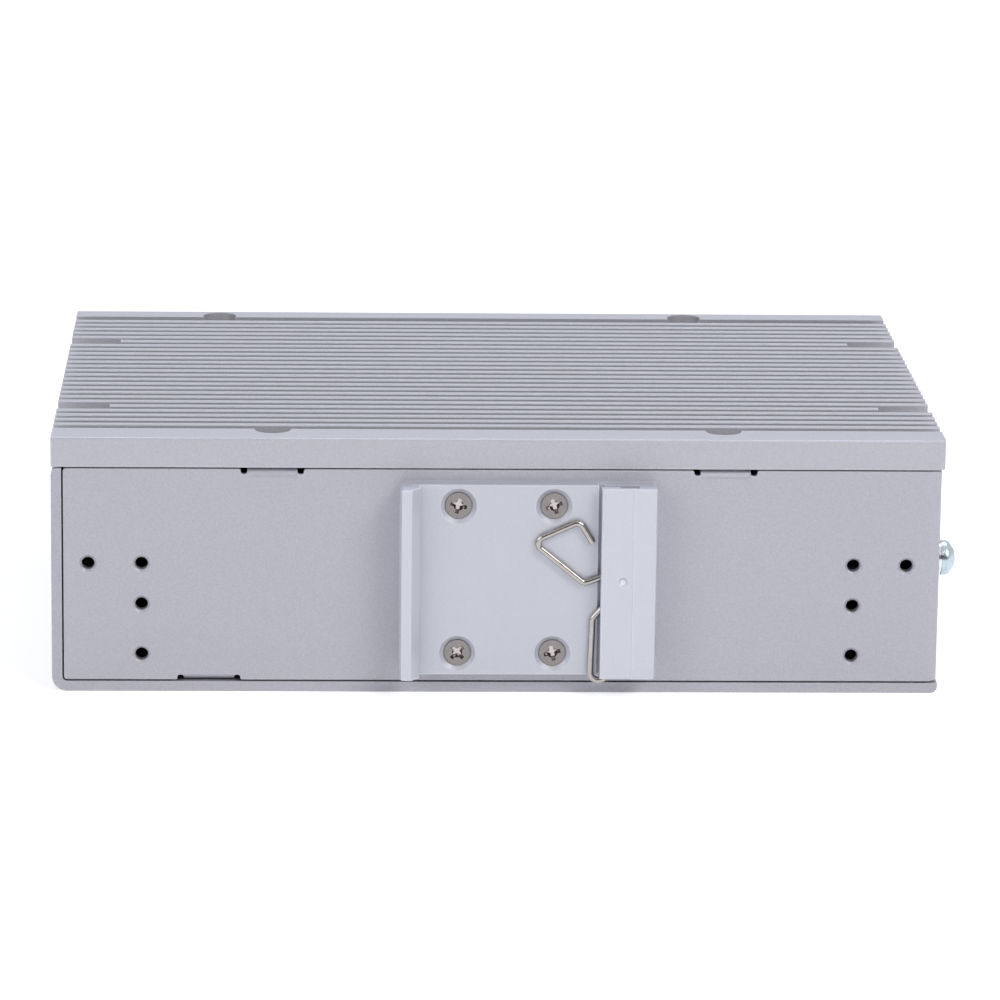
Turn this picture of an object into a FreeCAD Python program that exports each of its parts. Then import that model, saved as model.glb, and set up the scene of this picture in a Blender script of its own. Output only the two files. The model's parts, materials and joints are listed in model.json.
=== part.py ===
import FreeCAD, Part
import math
import os

from FreeCAD import Vector

# DIN-rail Ethernet switch, lying on its base cover.
# +X runs up the housing as it hangs on a rail, -Y is the rail side, +Y is the port side and
# +Z points out of the finned cover.  The origin is the middle of the base cover's underside.
# All lengths are in millimetres.

# ---------------------------------------------------------------- housing
WIDTH = 150.0
DEPTH = 107.8
HEIGHT = 43.8
COVER_T = 1.75
CHASSIS_T = 1.0
SEAM = 0.25
COVER_BEND_R = 2.6
CHASSIS_BEND_R = 1.8
COVER_EDGE_R = 1.2
COVER_LIP = 0.1
CHASSIS_CORNER_R = 0.6
CHASSIS_EDGE_R = 0.22
SINK_OVERHANG = 0.45

# ---------------------------------------------------------------- finned cover
SINK_T = 5.05
GROOVE_DEPTH = 3.3
FIN_COUNT = 25
FIN_TIP_T = 1.5
FIN_ROOT_T = 1.9
FIN_CHAMFER = 0.2
REAR_STRIP = 7.3
FRONT_STRIP = 5.35
SINK_EDGE_R = 0.4
SINK_CORNER_R = 1.1
POCKET_LENGTH = 9.0
POCKET_WIDTH = 5.2
POCKET_FINS = (4, 19)
POCKET_SCREW_INSET = 4.5
COUNTERBORE_R = 3.08
REAR_SCREW_SIDE = 37.0
REAR_SCREW_INSET = 6.95
FRONT_SCREW_LEFT = 26.5
FRONT_SCREW_RIGHT = 37.3
FRONT_SCREW_INSET = 4.15

# ---------------------------------------------------------------- bent tabs and flanges
TAB_WIDTH = 8.4
TAB_MARGIN = 4.5
TAB_BEND_R = 1.5
TAB_INNER_R = 0.1
RELIEF_WIDTH = 1.1
RELIEF_DEPTH = 0.9
RELIEF_CORNER_R = 0.4
TAB_ROOT = 0.5
COLLAR_T = 0.85
THREAD_LENGTH = 2.3
BASE_TAB_SIDE = 26.4
BASE_SCREW_INSET = 6.5
WALL_TAB_Y = 27.0
FLANGE_REACH = 10.0
FLANGE_SCREW_INSET = 6.0
FLANGE_SCREW_SPACING = 14.0

# ---------------------------------------------------------------- threads and screws
M25_TAP_R = 1.1
M25_CLEAR_R = 1.35
M3_TAP_R = 1.25
M3_CLEAR_R = 1.6
TAP_LEAD = 0.4
THREAD_CLEAR = 0.05
HEAD_RIM = 0.12
HEAD_CLEAR = 0.1
CHEESE_HEAD_R = 2.25
CHEESE_HEAD_H = 1.7
CHEESE_BEVEL = 0.3
SINK_SCREW_END = 0.4
PAN_HEAD_R = 2.8
PAN_HEAD_H = 1.9
PAN_SCREW_LENGTH = 5.0
PAN_BEVEL = 0.7
PAN_CROWN_R = 1.0
FLAT_HEAD_R = 2.75
FLAT_MOUTH_R = 3.07
FLAT_SCREW_LENGTH = 5.0
RECESS_SPAN = 2.8
RECESS_FOOT = 1.7
RECESS_W = 0.66
RECESS_DEPTH = 1.15
RECESS_FLARE_R = 0.85
RECESS_TIP_R = 0.3
SINK_SCREW_TURN = 30.0
BASE_SCREW_TURN = 20.0
LEFT_SCREW_TURN = 10.0
RIGHT_SCREW_TURN = 25.0
BOARD_SCREW_STEP = 15.0

# ---------------------------------------------------------------- rear panel holes
HOLE_SIDE_INNER = 15.1
HOLE_SIDE_OUTER = 6.15
HOLE_Z_TOP = 22.1
HOLE_Z_MIDDLE = 15.1
HOLE_Z_LOW = 6.4

# ---------------------------------------------------------------- rail clip
CLIP_X = 4.85
CLIP_WIDTH = 43.1
CLIP_LENGTH = 32.8
CLIP_FLOOR_T = 3.1
CLIP_CORNER_R = 0.8
CLIP_EDGE_R = 0.45
CLIP_SMALL_R = 0.12
CLIP_ROOT_R = 0.25
CLIP_END_BEVEL = 0.18
HOOK_DEPTH = 7.4
HOOK_WIDTH = 3.4
HOOK_FLAT = 1.95
HOOK_NOSE = 0.7
HOOK_GAP = 1.3
HOOK_UNDERCUT = 1.1
HOOK_SLOPE = 0.2
BLOCK_DEPTH = 6.0
BLOCK_WIDTH = 9.4
BLOCK_WALL = 3.1
BLOCK_LIP_T = 0.8
BLOCK_LIP_R = 0.25
BLOCK_STEP = 0.15
BLOCK_STEP_WIDTH = 4.1
BLOCK_NOSE_H = 0.9
BLOCK_NOSE_WIDTH = 3.05
CLIP_SCREW_X = 1.14
CLIP_SCREW_DX = 16.0
CLIP_SCREW_DZ = 25.4
CLIP_MOUTH_R = 3.05
CLIP_HEAD_R = 2.2
CLIP_SCREW_LENGTH = 5.5
CLIP_SCREW_TURNS = (45.0, -14.0, 14.0, 20.0)
DIMPLE_R = 0.85
DIMPLE_DEPTH = 0.42
DIMPLE_Z = 16.75

# ---------------------------------------------------------------- clip spring
WIRE_R = 0.55
WIRE_CLEAR = 0.05
WIRE_LEG_X = 3.7
WIRE_LEG_END = 1.3
# Corners of the bent wire from its free end: distance from the block's lip, height above
# the lower end of the clip, and bend radius on the centre line.
WIRE_CORNERS = [
    (-1.4, 23.1, 0.0),
    (-3.6, 26.75, 1.2),
    (-11.5, 23.2, 1.15),
    (-2.75, 16.1, 1.1),
    (1.9, 17.75, 1.1),
    (1.9, 13.4, 1.1),
    (-1.25, 10.0, 1.0),
    (-1.6, -2.35, 1.4),
]
WIRE_TURN_Z = 2.1
WIRE_TURN_R = 1.2

# ---------------------------------------------------------------- earth screw
EARTH_INSET = 6.5
EARTH_HEAD_R = 2.95
EARTH_HEAD_H = 2.35
EARTH_CROWN = 1.6
EARTH_CROWN_R = 1.4
EARTH_RIM_R = 1.0
EARTH_WASHER_R = 2.65
EARTH_WASHER_T = 0.75
EARTH_WASHER_SPLIT = 0.7
EARTH_SCREW_LENGTH = 5.0
EARTH_SCREW_TURN = 40.0

# ---------------------------------------------------------------- circuit board
BOARD_T = 1.6
BOARD_SIDE_GAP = 1.55
BOARD_REAR_GAP = 5.0
BOARD_FRONT_GAP = 0.5
STANDOFF_FLATS = 5.0
STANDOFF_SIDE = 6.4
STANDOFF_REAR = 16.0
STANDOFF_FRONT = 17.4
STANDOFF_SHANK_R = 2.05
STANDOFF_RECESS = 0.2
PRESS_CLEAR = 0.05

# ---------------------------------------------------------------- port side
PANEL_FIT = 0.15
PORT_END = 0.4
JACK_COUNT = 4
JACK_CLEAR = 2.1
JACK_W = 15.9
JACK_H = 25.4
JACK_L = 25.0
SHIELD_T = 0.25
MOUTH_W = 12.0
MOUTH_H = 6.9
MOUTH_DEPTH = 15.0
MOUTH_SPACING = 12.4
LATCH_W = 6.0
LATCH_H = 1.5
LATCH_TIP_W = 3.4
LATCH_TIP_H = 0.9
CONTACT_COUNT = 8
CONTACT_PITCH = 1.02
CONTACT_T = 0.35
CONTACT_RISE = 1.4
CONTACT_FOOT = 1.0
CONTACT_INSET = 4.0
CONTACT_END = 13.0
CAGE_COUNT = 2
CAGE_W = 14.4
CAGE_H = 9.8
CAGE_L = 47.0
CAGE_T = 0.3
CAGE_PROUD = 0.8
EDGE_SOCKET = (12.0, 9.0, 6.0)
EDGE_SOCKET_WALL = 1.0
EDGE_SLOT_H = 1.2
HEADER_POLES = 6
HEADER_PITCH = 3.5
HEADER_END = 0.4
HEADER_H = 11.0
HEADER_L = 12.0
HEADER_WALL = 1.0
HEADER_FLOOR = 3.0
PIN_T = 1.0
PIN_LENGTH = 6.0
PLUG_PROUD = 8.0
PLUG_CLEAR = 0.1
ENTRY_W = 2.4
ENTRY_H = 2.8
ENTRY_DEPTH = 7.0
CLAMP_R = 1.15
CLAMP_SETBACK = 3.5
CLAMP_DEPTH = 1.8
CLAMP_SLOT_W = 0.4
PIPE_R = 0.8
PIPE_PROUD = 0.4
PIPE_RISE = 0.85
PIPE_BAR_T = 3.0
PIPE_BAR_SETBACK = 6.4
PIPE_BAR_END = 1.5
PORT_PIPE_OFFSET = 6.6
POWER_PIPE_PITCH = 5.0
LED_SIZE = (1.6, 0.8, 0.6)

# ---------------------------------------------------------------- board parts
CHIP_AT = (5.0, -8.0)
CHIP_SIZE = 27.0
CHIP_H = 1.7
PAD_T = 1.0
PAD_MARGIN = 1.0
HEAT_BLOCK_SIZE = 34.0
PHY_SIZE = (14.0, 14.0, 1.2)
PHY_XS = (-31.0, 41.0)
MAGNETIC_SIZE = (15.2, 12.6, 6.2)
MAGNETIC_GAP = 3.0
CAPACITOR_R = 5.0
CAPACITOR_H = 16.0
CAPACITOR_INSET = 16.0
CAPACITOR_PITCH = 12.0
CAPACITOR_COUNT = 3
INDUCTOR_SIZE = 12.0
INDUCTOR_H = 7.5
INDUCTOR_XS = (-28.0, -10.0)
TRANSFORMER_SIZE = (20.0, 17.0, 13.0)
TRANSFORMER_X = 22.0
POWER_ROW = 24.0
CRYSTAL_SIZE = (11.0, 4.6, 3.2)
CRYSTAL_AT = (-14.0, 18.0)
FUSE_SIZE = (3.0, 8.0, 3.0)
FUSE_INSET = 4.0
FUSE_Y = 20.0
BODY_CHAMFER = 0.3
CAN_GROOVE = 0.5
CAN_GROOVE_START = 2.0
CAN_BEVEL = 0.6
HEAT_BLOCK_CORNER_R = 2.0

# ---------------------------------------------------------------- planes worked out from the above
REAR = -DEPTH / 2
FRONT = DEPTH / 2
LEFT = -WIDTH / 2
RIGHT = WIDTH / 2
SINK_UNDER = HEIGHT - SINK_T
GROOVE_Z = HEIGHT - GROOVE_DEPTH
FIN_PITCH = (DEPTH - REAR_STRIP - FRONT_STRIP) / (FIN_COUNT + 1)
SHEET_LEFT = LEFT + COVER_T + SEAM
SHEET_RIGHT = RIGHT - SINK_OVERHANG
COVER_RIGHT = SHEET_RIGHT + COVER_LIP
SHEET_BOTTOM = COVER_T + SEAM
SHEET_TOP = SINK_UNDER - SEAM
SHEET_MIDDLE = (SHEET_BOTTOM + SHEET_TOP) / 2
PANEL_RIGHT = SHEET_RIGHT - CHASSIS_T - SEAM
BOARD_BOTTOM = COVER_T + JACK_CLEAR + JACK_H
BOARD_TOP = BOARD_BOTTOM + BOARD_T
FLANGE_MIDDLE = (SHEET_BOTTOM + BOARD_BOTTOM) / 2
STANDOFF_X = WIDTH / 2 - STANDOFF_SIDE
STANDOFF_CORNER = STANDOFF_FLATS / math.sqrt(3)
CLIP_Z = SHEET_MIDDLE
CLIP_BOTTOM = CLIP_Z - CLIP_LENGTH / 2
CLIP_TOP = CLIP_Z + CLIP_LENGTH / 2
CLIP_LEFT = CLIP_X - CLIP_WIDTH / 2
CLIP_RIGHT = CLIP_X + CLIP_WIDTH / 2
LIP_X = CLIP_RIGHT - BLOCK_WIDTH
M25_SHANK_R = M25_TAP_R - THREAD_CLEAR
SINK_SCREW_LENGTH = SINK_T - GROOVE_DEPTH + SEAM + THREAD_LENGTH + SINK_SCREW_END
M3_SHANK_R = M3_TAP_R - THREAD_CLEAR

X = Vector(1, 0, 0)
Y = Vector(0, 1, 0)
Z = Vector(0, 0, 1)


# ================================================================ helpers
class Axes:
    """An origin and three directions; u, v and w are distances along them."""

    def __init__(self, origin, u, v):
        self.origin = origin
        self.u = u
        self.v = v
        self.w = u.cross(v)

    def at(self, u, v, w=0.0):
        return self.origin + self.u * u + self.v * v + self.w * w


PLAN = Axes(Vector(0, 0, 0), X, Y)
SECTION = Axes(Vector(0, 0, 0), Y, Z)
ELEVATION = Axes(Vector(0, 0, 0), Z, X)


def save(node, shapes):
    """Write one node; a list becomes a group of separate solids."""
    shape = Part.makeCompound(shapes) if isinstance(shapes, list) else shapes
    shape.exportStep("parts/%s.step" % node)


def box(x0, x1, y0, y1, z0, z1):
    return Part.makeBox(x1 - x0, y1 - y0, z1 - z0, Vector(x0, y0, z0))


def rod(start, direction, radius, length):
    return Part.makeCylinder(radius, length, start, direction)


def cone(start, direction, r0, r1, length):
    return Part.makeCone(r0, r1, length, start, direction)


def fused(first, others):
    return first.fuse(others).removeSplitter()


def rounded_path(corners, place, closed=True):
    """Wire through the corners (a, b, radius), with an arc wherever a radius is given."""
    count = len(corners)
    joints = []
    for i, (a, b, radius) in enumerate(corners):
        here = place(a, b)
        if radius <= 0:
            joints.append((here, here, here))
            continue
        back = (place(*corners[i - 1][:2]) - here).normalize()
        ahead = (place(*corners[(i + 1) % count][:2]) - here).normalize()
        half = back.getAngle(ahead) / 2
        reach = radius / math.tan(half)
        inside = (back + ahead).normalize()
        middle = here + inside * (radius / math.sin(half) - radius)
        joints.append((here + back * reach, middle, here + ahead * reach))
    edges = []
    for i, (start, middle, end) in enumerate(joints):
        if (end - start).Length > 1e-6:
            edges.append(Part.Arc(start, middle, end).toShape())
        following = joints[(i + 1) % count][0]
        if closed or i < count - 1:
            edges.append(Part.LineSegment(end, following).toShape())
    return Part.Wire(edges)


def prism(corners, axes, w0, w1):
    """Extrude a rounded outline in the u-v plane from w0 to w1."""
    wire = rounded_path(corners, lambda a, b: axes.at(a, b, w0))
    return Part.Face(wire).extrude(axes.w * (w1 - w0))


def lathe(corners, axes):
    """Turn a rounded outline (radius, height, corner radius) about the v direction."""
    wire = rounded_path(corners, axes.at)
    return Part.Face(wire).revolve(axes.origin, axes.v, 360)


def bent_wire(path, radius):
    """Round wire along a path of lines and arcs."""
    spans = []
    for edge in path.OrderedEdges:
        start = edge.valueAt(edge.FirstParameter)
        heading = edge.tangentAt(edge.FirstParameter)
        if isinstance(edge.Curve, Part.Circle):
            face = Part.Face(Part.Wire(Part.Circle(start, heading, radius).toShape()))
            turn = math.degrees(edge.Length / edge.Curve.Radius)
            spans.append(face.revolve(edge.Curve.Center, edge.Curve.Axis, turn))
        else:
            spans.append(rod(start, heading, radius, edge.Length))
    return fused(spans[0], spans[1:])


def sharp(points):
    return [(a, b, 0.0) for a, b in points]


def block(centre, size, z0, upwards=True):
    """A moulded body that stands on a level face, with its far edges chamfered."""
    width, depth, height = size
    x0 = centre[0] - width / 2
    y0 = centre[1] - depth / 2
    far = z0 + height if upwards else z0 - height
    body = box(x0, x0 + width, y0, y0 + depth, min(z0, far), max(z0, far))
    edges = [edge for edge in body.Edges
             if abs(edge.BoundBox.ZMin - far) < 1e-6 and abs(edge.BoundBox.ZMax - far) < 1e-6]
    return body.makeChamfer(BODY_CHAMFER, edges)


# ================================================================ sheet-metal features
def tab_bend(t):
    return max(TAB_BEND_R, t + TAB_INNER_R)


def relief(axes, t):
    """Cutters in a panel's edge for one tab: its own width, and a rounded notch at each side."""
    across = Axes(axes.origin, axes.w, axes.v)
    inner = TAB_WIDTH / 2
    outer = inner + RELIEF_WIDTH
    depth = RELIEF_DEPTH * t / CHASSIS_T
    above = 1.0
    width = sharp([(-inner, above), (inner, above), (inner, -tab_bend(t)), (-inner, -tab_bend(t))])
    cutters = [prism(width, across, -t - above, above)]
    for side in (-1, 1):
        notch = [(side * inner, above, 0.0), (side * (outer + 2 * RELIEF_CORNER_R), above, 0.0),
                 (side * (outer + 2 * RELIEF_CORNER_R), 0.0, 0.0), (side * outer, 0.0, RELIEF_CORNER_R),
                 (side * outer, -depth, RELIEF_CORNER_R), (side * inner, -depth, RELIEF_CORNER_R)]
        cutters.append(prism(notch, across, -t - above, above))
    return cutters


def tab(axes, t, inset, tap_r):
    """Tab folded inwards at a panel's edge, with an extruded and tapped collar."""
    bend = tab_bend(t)
    root = bend + TAB_ROOT
    reach = inset + TAB_MARGIN
    profile = [(0.0, -root, 0.0), (0.0, 0.0, bend), (reach, 0.0, 0.0), (reach, -t, 0.0),
               (t, -t, bend - t), (t, -root, 0.0)]
    sheet = prism(profile, axes, -TAB_WIDTH / 2, TAB_WIDTH / 2)
    down = axes.v * -1
    collar = rod(axes.at(inset, -t / 2), down, tap_r + COLLAR_T, THREAD_LENGTH - t / 2)
    bore = rod(axes.at(inset, 1.0), down, tap_r, THREAD_LENGTH + 2.0)
    return fused(sheet, [collar]).cut(bore)


def with_tabs(panel, t, places):
    """Cut the reliefs and add the tabs; places are (axes, screw inset, tapping radius)."""
    panel = panel.cut([cutter for axes, inset, tap_r in places for cutter in relief(axes, t)])
    return fused(panel, [tab(axes, t, inset, tap_r) for axes, inset, tap_r in places])


def with_tapped(panel, t, holes):
    """Add holes tapped from outside; holes are (point, inward direction, tapping radius)."""
    collars = []
    cutters = []
    for point, inward, tap_r in holes:
        collars.append(rod(point + inward * (t / 2), inward, tap_r + COLLAR_T, THREAD_LENGTH - t / 2))
        cutters.append(rod(point - inward, inward, tap_r, THREAD_LENGTH + 2.0))
        cutters.append(cone(point, inward, tap_r + TAP_LEAD, tap_r, TAP_LEAD))
    return fused(panel, collars).cut(cutters)


def countersink(point, inward, mouth_r, clear_r, t):
    """Cutters of a 90-degree countersunk clearance hole."""
    taper = mouth_r - clear_r
    return [cone(point, inward, mouth_r, clear_r, taper), rod(point, inward, clear_r, t + 1.0)]


# ================================================================ screws
def screw_axes(point, inward, turn):
    """Axes on a screw: v points out of the head, u is turned about it."""
    out = inward * -1
    side = X if abs(out.z) > 0.5 else Z
    return Axes(point, FreeCAD.Rotation(out, turn).multVec(side), out)


def cross_recess(axes):
    """Cross sunk into a head's face: two tapered wings and the flare where they meet."""
    top = RECESS_SPAN / 2
    foot = RECESS_FOOT / 2
    outline = sharp([(-top, 0.0), (top, 0.0), (foot, -RECESS_DEPTH), (-foot, -RECESS_DEPTH)])
    cutters = [prism(outline, Axes(axes.origin, u, axes.v), -RECESS_W / 2, RECESS_W / 2)
               for u in (axes.u, axes.w)]
    cutters.append(cone(axes.origin, axes.v * -1, RECESS_FLARE_R, RECESS_TIP_R, RECESS_DEPTH))
    return cutters


def flat_screw(point, inward, turn, mouth_r, head_r, shank_r, length):
    """Countersunk screw sunk into the countersink whose mouth is centred on point."""
    face = point + inward * (mouth_r - head_r - HEAD_RIM - HEAD_CLEAR)
    axes = screw_axes(face, inward, turn)
    taper = head_r - shank_r
    outline = sharp([(0.0, 0.0), (head_r, 0.0), (head_r, -HEAD_RIM), (shank_r, -HEAD_RIM - taper),
                     (shank_r, -length), (0.0, -length)])
    return lathe(outline, axes).cut(cross_recess(axes))


def bevelled_rim(head_r, head_h, bevel):
    return sharp([(head_r - bevel, head_h), (head_r, head_h - bevel)])


def round_screw(seat, inward, turn, head_h, rim, shank_r, length):
    """Screw whose head stands on a seat; rim is the outline of the head's outer edge."""
    axes = screw_axes(seat, inward, turn)
    outline = [(0.0, head_h, 0.0)] + rim
    outline += sharp([(rim[-1][0], 0.0), (shank_r, 0.0), (shank_r, -length), (0.0, -length)])
    face = screw_axes(seat - inward * head_h, inward, turn)
    return lathe(outline, axes).cut(cross_recess(face))


# ================================================================ screw places
def fin_y(index):
    return REAR + REAR_STRIP + FIN_PITCH * (index + 1)


POCKET_YS = [fin_y(index) for index in POCKET_FINS]
POCKET_XS = (LEFT + POCKET_SCREW_INSET, RIGHT - POCKET_SCREW_INSET)
REAR_SCREW_XS = (LEFT + REAR_SCREW_SIDE, RIGHT - REAR_SCREW_SIDE)
FRONT_SCREW_XS = (LEFT + FRONT_SCREW_LEFT, RIGHT - FRONT_SCREW_RIGHT)
BASE_TAB_XS = (LEFT + BASE_TAB_SIDE, RIGHT - BASE_TAB_SIDE)
BORE_SCREWS = [(x, REAR + REAR_SCREW_INSET) for x in REAR_SCREW_XS]
BORE_SCREWS += [(x, FRONT - FRONT_SCREW_INSET) for x in FRONT_SCREW_XS]
POCKET_SCREWS = [(x, y) for x in POCKET_XS for y in POCKET_YS]
BASE_SCREWS = [(x, FRONT - BASE_SCREW_INSET) for x in BASE_TAB_XS]
BASE_SCREWS += [(SHEET_RIGHT - BASE_SCREW_INSET, side * WALL_TAB_Y) for side in (-1, 1)]
BASE_SCREWS += [(BASE_TAB_XS[0], REAR + BASE_SCREW_INSET)]
FLANGE_SCREWS = [(FRONT - FLANGE_SCREW_INSET, FLANGE_MIDDLE + side * FLANGE_SCREW_SPACING / 2)
                 for side in (-1, 1)]
PANEL_HOLES = [(side * (WIDTH / 2 - inset), z) for side in (-1, 1)
               for inset, z in ((HOLE_SIDE_OUTER, HOLE_Z_TOP), (HOLE_SIDE_INNER, HOLE_Z_TOP),
                                (HOLE_SIDE_INNER, HOLE_Z_MIDDLE), (HOLE_SIDE_INNER, HOLE_Z_LOW))]
CLIP_SCREWS = [(CLIP_SCREW_X + dx * CLIP_SCREW_DX / 2, CLIP_Z + dz * CLIP_SCREW_DZ / 2)
               for dx in (-1, 1) for dz in (-1, 1)]
STANDOFF_YS = (REAR + STANDOFF_REAR, (STANDOFF_REAR - STANDOFF_FRONT) / 2, FRONT - STANDOFF_FRONT)
STANDOFFS = [(side * STANDOFF_X, y) for side in (-1, 1) for y in STANDOFF_YS]
EARTH_Y = REAR + EARTH_INSET


# ================================================================ housing
def heatsink_cover():
    """Extrusion with cooling fins along X, counterbored and milled for its screws."""
    outline = [(REAR, SINK_UNDER, 0.0), (REAR, HEIGHT, SINK_EDGE_R), (REAR + REAR_STRIP, HEIGHT, 0.0),
               (REAR + REAR_STRIP, GROOVE_Z, 0.0)]
    root = FIN_ROOT_T / 2
    tip = FIN_TIP_T / 2
    for index in range(FIN_COUNT):
        y = fin_y(index)
        outline += sharp([(y - root, GROOVE_Z), (y - tip, HEIGHT - FIN_CHAMFER),
                          (y - tip + FIN_CHAMFER, HEIGHT), (y + tip - FIN_CHAMFER, HEIGHT),
                          (y + tip, HEIGHT - FIN_CHAMFER), (y + root, GROOVE_Z)])
    outline += [(FRONT - FRONT_STRIP, GROOVE_Z, 0.0), (FRONT - FRONT_STRIP, HEIGHT, 0.0),
                (FRONT, HEIGHT, SINK_EDGE_R), (FRONT, SINK_UNDER, 0.0)]
    body = prism(outline, SECTION, LEFT, RIGHT)
    plan = [(LEFT, REAR, 0.0), (RIGHT, REAR, SINK_CORNER_R), (RIGHT, FRONT, SINK_CORNER_R),
            (LEFT, FRONT, 0.0)]
    body = body.common(prism(plan, PLAN, SINK_UNDER, HEIGHT))
    cutters = []
    for y in POCKET_YS:
        for x0, x1 in ((LEFT - 1, LEFT + POCKET_LENGTH), (RIGHT - POCKET_LENGTH, RIGHT + 1)):
            cutters.append(box(x0, x1, y - POCKET_WIDTH / 2, y + POCKET_WIDTH / 2, GROOVE_Z, HEIGHT + 1))
    for x, y in BORE_SCREWS:
        cutters.append(rod(Vector(x, y, GROOVE_Z), Z, COUNTERBORE_R, GROOVE_DEPTH + 1))
    for x, y in BORE_SCREWS + POCKET_SCREWS:
        cutters.append(rod(Vector(x, y, SINK_UNDER - 1), Z, M25_CLEAR_R, SINK_T + 1))
    return body.cut(cutters)


def base_cover():
    """One folded sheet: the underside and the left wall, with two tabs under the fins."""
    inner = COVER_BEND_R - COVER_T
    profile = [(0.0, COVER_RIGHT, COVER_EDGE_R), (0.0, LEFT, COVER_BEND_R), (SHEET_TOP, LEFT, COVER_EDGE_R),
               (SHEET_TOP, LEFT + COVER_T, 0.0), (COVER_T, LEFT + COVER_T, inner),
               (COVER_T, COVER_RIGHT, 0.0)]
    sheet = prism(profile, ELEVATION, REAR, FRONT)
    places = [(Axes(Vector(LEFT, y, SHEET_TOP), X, Z), POCKET_SCREW_INSET, M25_TAP_R)
              for y in POCKET_YS]
    sheet = with_tabs(sheet, COVER_T, places)
    cutters = []
    for x, y in BASE_SCREWS:
        cutters += countersink(Vector(x, y, 0), Z, FLAT_MOUTH_R, M3_CLEAR_R, COVER_T)
    for y, z in FLANGE_SCREWS:
        cutters += countersink(Vector(LEFT, y, z), X, FLAT_MOUTH_R, M3_CLEAR_R, COVER_T)
    for x, y in STANDOFFS:
        cutters.append(rod(Vector(x, y, -1), Z, STANDOFF_SHANK_R + PRESS_CLEAR, COVER_T + 2))
    return sheet.cut(cutters)


def outer_top_edges(sheet):
    """The edges of the chassis's top face that lie on its outer side."""
    edges = []
    for edge in sheet.Edges:
        middle = edge.valueAt((edge.FirstParameter + edge.LastParameter) / 2)
        level = abs(edge.BoundBox.ZMin - SHEET_TOP) < 1e-6
        wall = CHASSIS_T * 0.9
        inside = (middle.x < SHEET_RIGHT - wall and middle.y > REAR + wall) or middle.y > FRONT - 1e-6
        corner = SHEET_RIGHT - CHASSIS_BEND_R
        bend = math.hypot(middle.x - corner, middle.y - REAR - CHASSIS_BEND_R)
        inner_bend = middle.x > corner and middle.y < REAR + CHASSIS_BEND_R and bend < CHASSIS_BEND_R - wall
        end = abs(edge.BoundBox.XMax - SHEET_LEFT) < 1e-6
        if level and not inside and not inner_bend and not end:
            edges.append(edge)
    return edges


def rear_chassis():
    """One folded sheet: the rear panel behind the rail clip and the right wall."""
    t = CHASSIS_T
    plan = [(SHEET_LEFT, REAR, 0.0), (SHEET_RIGHT, REAR, CHASSIS_BEND_R), (SHEET_RIGHT, FRONT, 0.0),
            (SHEET_RIGHT - t, FRONT, 0.0), (SHEET_RIGHT - t, REAR + t, CHASSIS_BEND_R - t),
            (SHEET_LEFT, REAR + t, 0.0)]
    sheet = prism(plan, PLAN, SHEET_BOTTOM, SHEET_TOP)
    face = [(SHEET_BOTTOM, SHEET_LEFT, CHASSIS_CORNER_R), (SHEET_TOP, SHEET_LEFT, CHASSIS_CORNER_R),
            (SHEET_TOP, SHEET_RIGHT, 0.0), (SHEET_BOTTOM, SHEET_RIGHT, 0.0)]
    sheet = sheet.common(prism(face, ELEVATION, REAR, FRONT))
    sheet = sheet.makeFillet(CHASSIS_EDGE_R, outer_top_edges(sheet))
    right_inset = SHEET_RIGHT - (RIGHT - POCKET_SCREW_INSET)
    places = [(Axes(Vector(x, REAR, SHEET_TOP), Y, Z), REAR_SCREW_INSET, M25_TAP_R)
              for x in REAR_SCREW_XS]
    places += [(Axes(Vector(SHEET_RIGHT, y, SHEET_TOP), X * -1, Z), right_inset, M25_TAP_R)
               for y in POCKET_YS]
    places += [(Axes(Vector(SHEET_RIGHT, side * WALL_TAB_Y, SHEET_BOTTOM), X * -1, Z * -1),
                BASE_SCREW_INSET, M3_TAP_R) for side in (-1, 1)]
    places += [(Axes(Vector(BASE_TAB_XS[0], REAR, SHEET_BOTTOM), Y, Z * -1), BASE_SCREW_INSET, M3_TAP_R)]
    sheet = with_tabs(sheet, t, places)
    holes = [(Vector(x, REAR, z), Y, M25_TAP_R) for x, z in PANEL_HOLES + CLIP_SCREWS]
    holes += [(Vector(SHEET_RIGHT, EARTH_Y, HOLE_Z_TOP), X * -1, M3_TAP_R)]
    sheet = with_tapped(sheet, t, holes)
    return sheet.cut([rod(Vector(SHEET_RIGHT + 1, y, z), X * -1, M3_CLEAR_R, t + 2)
                      for y, z in FLANGE_SCREWS])


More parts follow.
